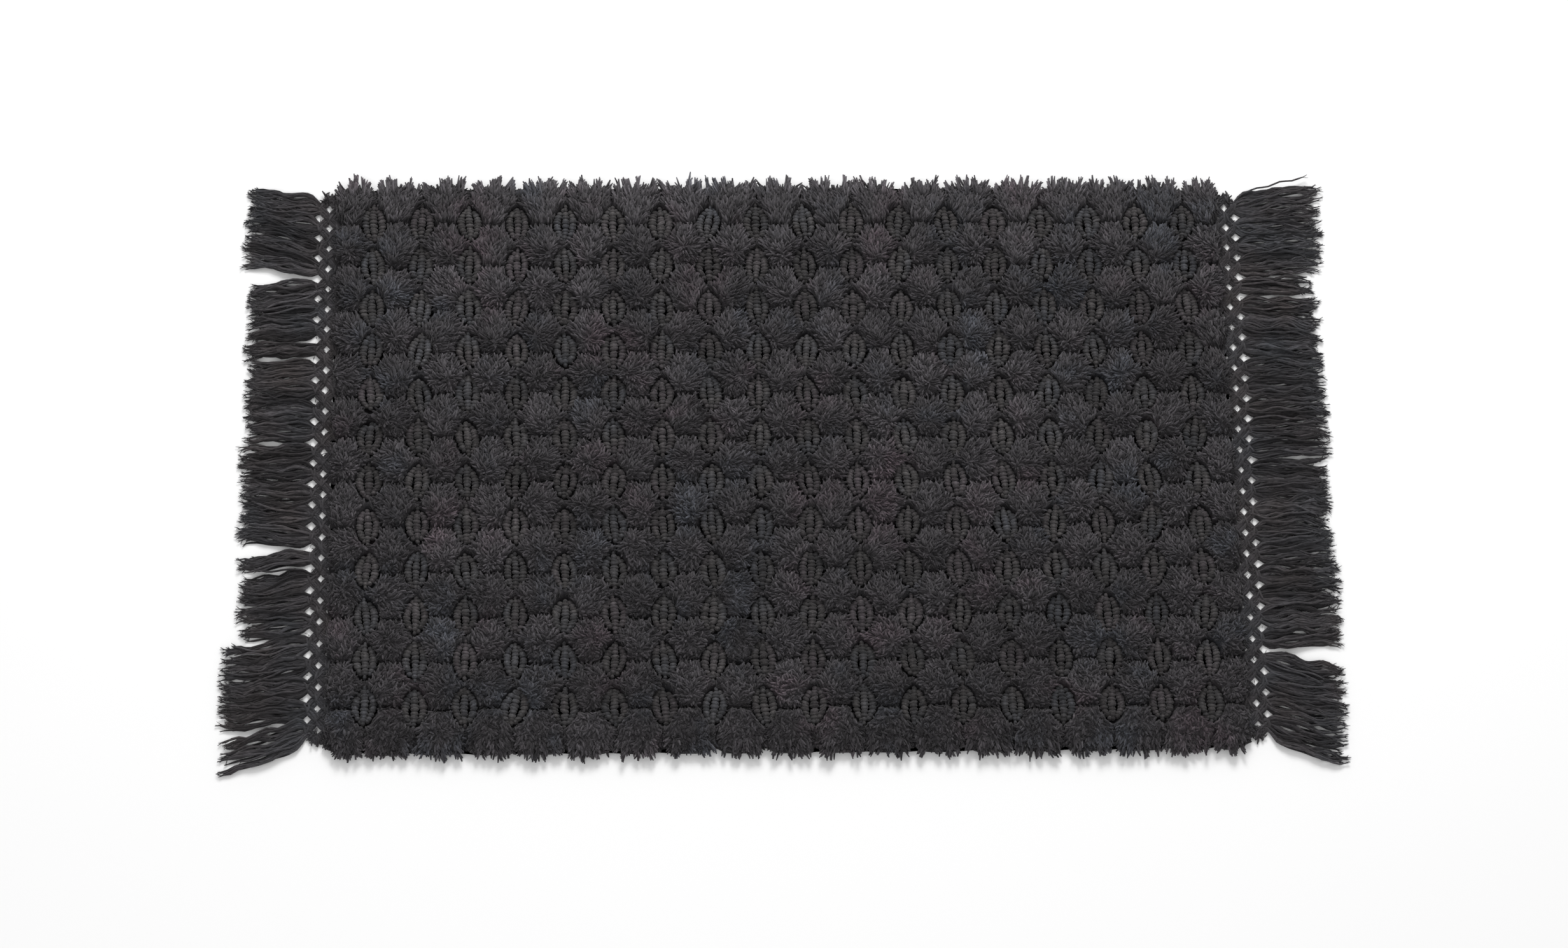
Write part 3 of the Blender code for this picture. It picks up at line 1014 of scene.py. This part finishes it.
def add_net_fuzz(heap, direction, net_start):
    """Loose short fibres over the net's cords, and longer, thicker ones round its near and far ends."""
    count = 500
    at_end = rng.random(count) < END_FUZZ_SHARE
    side = np.where(rng.random(count) < 0.5, 1.0, -1.0)
    edge = TASSEL_Y[-1] + TASSEL_PITCH / 2
    x = net_start + np.where(at_end, rng.uniform(-4, 18, count), rng.uniform(0, 26, count)) * MM
    y = np.where(at_end, side * (edge - rng.uniform(-3, 8, count) * MM), rng.uniform(-edge, edge, count))
    z = rng.uniform(1.5, 4.2, count) * MM
    directions = rng.normal(size=(count, 3)) * np.array([1.0, 1.0, 0.25])
    lengths = np.where(at_end, rng.uniform(3, 7, count), rng.uniform(2, 4, count)) * MM
    thicknesses = np.where(at_end, rng.uniform(1.5, 2.4, count), rng.uniform(0.5, 0.9, count)) * MM
    bases = np.stack([direction * x, y, z], axis=1)
    add_locks(heap, bases, directions, lengths, thicknesses, rng.uniform(0.6, 1.3, count))


def build_net(side_name, direction):
    """The knotted net at one end: flat cords of warp yarn that slant across each other between knots."""
    low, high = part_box(f"{side_name}_end_net")
    net_start = min(abs(low.x), abs(high.x))
    columns = net_nodes(net_start)
    paths = net_paths(direction, columns)
    radii = [np.full(len(path), YARN_RADIUS * rng.uniform(*YARN_SIZES)) for path in paths]
    tones = [rng.uniform(0.65, 1.25) for path in paths]
    heap = heap_from_yarns(yarn_mesh(f"{side_name}_cords", paths, radii), len(paths), tones)
    add_knots(heap, direction, columns)
    add_net_fuzz(heap, direction, net_start)
    name = f"{side_name}_net_cords"
    put_in_scene(name, heap.mesh(name), WARP_COTTON, "knotted_warp", f"{side_name}_end_net")


# -------- tassels

UNDER_YARNS = 8
GROUPS_PER_TASSEL = 5
YARNS_PER_GROUP = 5
STRAY_YARNS = 2
# The clumps that tassels lie in, from the near corner to the far one: how many tassels, how far their
# tips lean towards the far side and how long they are from knot to tip, both in millimetres, and how wide
# each one spreads.
CLUMPS = {
    "left": (
        (1, -26, 80, 1.3),
        (4, -13, 81, 1.0),
        (3, -10, 65, 1.0),
        (1, -5, 67, 0.6),
        (5, -1, 68, 1.0),
        (4, 0, 66, 1.0),
        (1, -2, 66, 0.5),
        (3, -5, 67, 1.0),
        (4, 13, 70, 1.05),
    ),
    "right": (
        (1, -24, 72, 1.25),
        (3, -16, 74, 1.0),
        (4, 2, 76, 1.0),
        (5, 0, 73, 1.0),
        (8, 1, 77, 1.0),
        (1, 0, 72, 0.7),
        (3, 5, 82, 1.05),
        (1, 12, 85, 1.2),
    ),
}
# How far the tips of a clump are drawn in towards its middle, as a share of their distance from it.
CLUMP_PULL = {"left": 0.12, "right": 0.08}
# The stations along a yarn, closest together at its knot.
YARN_STEPS = np.linspace(0, 1, 15) ** 1.2
# The knot's half width, and the tassel's as a share of the pitch, which it opens out to past the knot.
KNOT_HALF_WIDTH = 5.4 * MM
TASSEL_HALF_WIDTH = 0.57
OPENING_LENGTH = 4.5 * MM
INSIDE_KNOT = 4 * MM
# A wave grows to its full size over about this length past the knot.
WAVE_START = 12 * MM
GROUP_CROWN = 1.4 * MM
GROUP_WIDTH = 0.82
STRAY_LIFT = 6.5 * MM
STRANDS_PER_TIP = 3

Tassel = namedtuple("Tassel", "direction root middle lean length spread")


def tassel_lies(side_name):
    """For each tassel, how far its tip moves across the mat, its length and how far it spreads."""
    lies = []
    for size, lean, length, spread in CLUMPS[side_name]:
        members = TASSEL_Y[len(lies) : len(lies) + size]
        drawn = (members.mean() - members) * CLUMP_PULL[side_name]
        lies += [(lean * MM + pull, length * MM * rng.uniform(0.96, 1.02), spread) for pull in drawn]
    return lies


def wave(along, size, length):
    """A slow sideways wander of a given size and wave length that starts at the knot."""
    start = 1 - np.exp(-np.clip(along, 0, None) / WAVE_START)
    return size * start * np.sin(2 * math.pi * (along / length + rng.random()))


def yarn_path(tassel, own_length, rank, height, drift):
    """One yarn of a tassel, from inside the knot to its tip, and the distances along it."""
    along = YARN_STEPS * own_length - INSIDE_KNOT
    opened = 1 - np.exp(-((np.clip(along, 0, None) / OPENING_LENGTH) ** 1.4))
    open_width = TASSEL_PITCH * TASSEL_HALF_WIDTH * tassel.spread
    half_width = KNOT_HALF_WIDTH + (open_width - KNOT_HALF_WIDTH) * opened
    share = np.clip(along / tassel.length, 0, 1)
    lean = tassel.lean * (1 - (1 - share) ** 1.5)
    y = tassel.middle + rank * half_width + lean + drift * share**1.6
    z = YARN_RADIUS + height * np.sin(math.pi * (0.12 + 0.8 * share))
    return np.stack([tassel.direction * (tassel.root + along), y, z], axis=1), along


def under_yarns(tassel, sway):
    """The flat under layer of a tassel, on the floor: (path, tone) of each yarn."""
    yarns = []
    for index in range(UNDER_YARNS):
        rank = (index + 0.5) / UNDER_YARNS * 2 - 1
        own_length = tassel.length * rng.uniform(0.86, 1.0)
        path, along = yarn_path(tassel, own_length, rank, 0.0, 0.0)
        path[:, 1] += sway + wave(along, 0.6 * MM, 30 * MM)
        # Painted shade: the under layer is made dark, as it lies in the shade of the yarns over it.
        yarns.append((path, rng.uniform(0.35, 0.65)))
    return yarns


def grouped_yarns(tassel, sway, group):
    """One group of yarns that wave together over the under layer: (path, tone) of each yarn."""
    size, length = rng.uniform(1.0 * MM, 2.8 * MM), rng.uniform(26 * MM, 58 * MM)
    group_wave = wave(YARN_STEPS * tassel.length, size, length)
    lift = rng.uniform(1.4 * MM, 4.2 * MM)
    group_tone = rng.uniform(0.8, 1.15)
    drift = rng.normal(scale=2.0 * MM)
    yarns = []
    for member in range(YARNS_PER_GROUP):
        place = (member + 0.5) / YARNS_PER_GROUP * 2 - 1
        crown = 1 - place**2
        rank = (2 * group + 1 + place * GROUP_WIDTH) / GROUPS_PER_TASSEL - 1 + rng.normal(scale=0.03)
        own_length = tassel.length * rng.uniform(0.87, 1.04) + INSIDE_KNOT
        own_drift = drift + rng.normal(scale=1.3 * MM)
        path, along = yarn_path(tassel, own_length, rank, lift + GROUP_CROWN * crown, own_drift)
        own_wave = wave(along, rng.uniform(0.3 * MM, 0.8 * MM), rng.uniform(15 * MM, 28 * MM))
        path[:, 1] += sway + group_wave + own_wave
        path[:, 2] = np.maximum(path[:, 2] + wave(along, 0.4 * MM, 20 * MM), YARN_RADIUS)
        # Painted shade and light: a yarn is made lighter at the crown of its group and darker at its
        # edges, where it lies lower; the group's and the yarn's own tones are random.
        yarns.append((path, group_tone * (0.4 + 0.85 * crown) * rng.uniform(0.75, 1.3)))
    return yarns


def stray_yarns(tassel, sway):
    """The few yarns that lie astray over a tassel: (path, tone) of each yarn."""
    yarns = []
    for _ in range(STRAY_YARNS):
        own_length = tassel.length * rng.uniform(0.75, 1.05)
        drift = rng.uniform(-15 * MM, 15 * MM)
        path, along = yarn_path(tassel, own_length, rng.uniform(-0.9, 0.9), STRAY_LIFT, drift)
        path[:, 1] += sway + wave(along, 1.0 * MM, rng.uniform(25 * MM, 45 * MM))
        # Painted light: the strays that lie on top are made lighter.
        yarns.append((path, rng.uniform(0.9, 1.35)))
    return yarns


def tassel_yarns(tassel):
    """The yarns of one tassel, which all sway together: (path, tone) of each yarn."""
    sway = wave(YARN_STEPS * tassel.length, rng.normal(scale=1.0 * MM), rng.uniform(45 * MM, 80 * MM))
    yarns = under_yarns(tassel, sway)
    for group in range(GROUPS_PER_TASSEL):
        yarns += grouped_yarns(tassel, sway, group)
    return yarns + stray_yarns(tassel, sway)


def fringe_yarns(side_name, direction):
    """The paths, radii and tones of the yarns of all tassels at one end."""
    low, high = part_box(f"{side_name}_tassel_pair_01")
    root = min(abs(low.x), abs(high.x)) - NET_MARGIN
    yarns = []
    for middle, (lean, length, spread) in zip(TASSEL_Y, tassel_lies(side_name)):
        tassel_tone = rng.uniform(0.9, 1.1)
        tassel = Tassel(direction, root, middle, lean, length, spread)
        yarns += [(path, tone * tassel_tone) for path, tone in tassel_yarns(tassel)]
    radii = [np.full(len(YARN_STEPS), YARN_RADIUS * rng.uniform(*YARN_SIZES)) for _ in yarns]
    for radius in radii:
        radius[-1] *= 0.55
    return [path for path, tone in yarns], radii, [tone for path, tone in yarns]


def add_frayed_tips(heap, paths, tones):
    """A few loose strands out of the cut tip of each yarn."""
    tips = np.array([path[-1] for path in paths])
    headings = unit(np.array([path[-1] - path[-2] for path in paths]))
    bases = np.repeat(tips - headings * 1.5 * MM, STRANDS_PER_TIP, axis=0)
    scatter = rng.normal(scale=0.3, size=(len(bases), 3))
    directions = np.repeat(headings, STRANDS_PER_TIP, axis=0) + scatter
    directions[:, 2] = np.abs(directions[:, 2]) * 0.5
    lengths = rng.uniform(3 * MM, 6 * MM, len(bases))
    thicknesses = rng.uniform(0.6 * MM, 1.0 * MM, len(bases))
    add_locks(heap, bases, directions, lengths, thicknesses, np.repeat(np.array(tones), STRANDS_PER_TIP))


def build_tassels(side_name, direction):
    """The fringe at one end: clumped tassels of yarns that lie on the floor, with frayed ends."""
    paths, radii, tones = fringe_yarns(side_name, direction)
    heap = heap_from_yarns(yarn_mesh(f"{side_name}_yarns", paths, radii), len(paths), tones)
    add_frayed_tips(heap, paths, tones)
    name = f"{side_name}_tassels"
    nodes = [f"{side_name}_tassel_pair_{pair + 1:02d}" for pair in range(PILE_ROWS)]
    put_in_scene(name, heap.mesh(name), WARP_COTTON, "tassel_yarn", *nodes)


# -------- floor, light and camera

CAMERA_AZIMUTH = -6.21
CAMERA_ELEVATION = 68.0
CAMERA_ROLL = 5.534
CAMERA_DISTANCE = 3.973
CAMERA_LENS = 93.6
CAMERA_AIM = Vector((-0.0003, -0.0126, 0.0))


def add_floor():
    """A plain pale studio floor."""
    plane = bmesh.new()
    bmesh.ops.create_grid(plane, x_segments=1, y_segments=1, size=6.0)
    mesh = bpy.data.meshes.new("studio_floor")
    plane.to_mesh(mesh)
    plane.free()
    paint = bpy.data.materials.new("matt white studio floor")
    paint.use_nodes = True
    shader = paint.node_tree.nodes["Principled BSDF"]
    shader.inputs["Base Color"].default_value = linear("F7F7F7")
    shader.inputs["Roughness"].default_value = 0.9
    mesh.materials.append(paint)
    floor = bpy.data.objects.new("studio_floor", mesh)
    bpy.context.scene.collection.objects.link(floor)


def add_area_light(name, place, target, width, watts):
    """A square soft box that faces a point."""
    lamp = bpy.data.lights.new(name, "AREA")
    lamp.size = width
    lamp.energy = watts
    holder = bpy.data.objects.new(name, lamp)
    bpy.context.scene.collection.objects.link(holder)
    holder.location = place
    heading = Vector(target) - Vector(place)
    holder.rotation_mode = "QUATERNION"
    holder.rotation_quaternion = heading.to_track_quat("-Z", "Y")


def add_lights():
    """A soft box beyond the far edge, a weaker one on the near side, and an even white surround."""
    world = bpy.data.worlds.new("white surround")
    world.use_nodes = True
    background = world.node_tree.nodes["Background"]
    background.inputs["Color"].default_value = (1, 1, 1, 1)
    background.inputs["Strength"].default_value = 0.58
    bpy.context.scene.world = world
    add_area_light("far_soft_box", place=(0.2, 2.6, 2.4), target=(0, 0, 0), width=1.4, watts=88)
    add_area_light("near_fill", place=(-0.6, -2.4, 2.8), target=(0, 0, 0), width=2.0, watts=22)


def camera_axes():
    """The camera's right, up and back directions, from its azimuth, elevation and roll."""
    azimuth = math.radians(CAMERA_AZIMUTH)
    elevation = math.radians(CAMERA_ELEVATION)
    roll = math.radians(CAMERA_ROLL)
    flat = math.cos(elevation)
    back = Vector((math.sin(azimuth) * flat, -math.cos(azimuth) * flat, math.sin(elevation)))
    right = Vector((0, 0, 1)).cross(back).normalized()
    up = back.cross(right)
    turned_right = right * math.cos(roll) + up * math.sin(roll)
    turned_up = up * math.cos(roll) - right * math.sin(roll)
    return turned_right, turned_up, back


def add_camera():
    """A long lens that looks down on the mat from beyond its near edge, slightly rolled."""
    lens = bpy.data.cameras.new("studio_camera")
    lens.lens = CAMERA_LENS
    lens.sensor_width = 36.0
    camera = bpy.data.objects.new("studio_camera", lens)
    bpy.context.scene.collection.objects.link(camera)
    right, up, back = camera_axes()
    turn = Matrix((right, up, back)).transposed()
    camera.matrix_world = Matrix.Translation(CAMERA_AIM + back * CAMERA_DISTANCE) @ turn.to_4x4()
    bpy.context.scene.camera = camera


# -------- the mat

add_floor()
add_lights()
add_camera()
bpy.context.scene.view_settings.view_transform = "Standard"

build_pile()
build_motifs()
cloth = build_ground_cloth()
for side, outwards in (("left", -1), ("right", 1)):
    build_net(side, outwards)
    build_tassels(side, outwards)
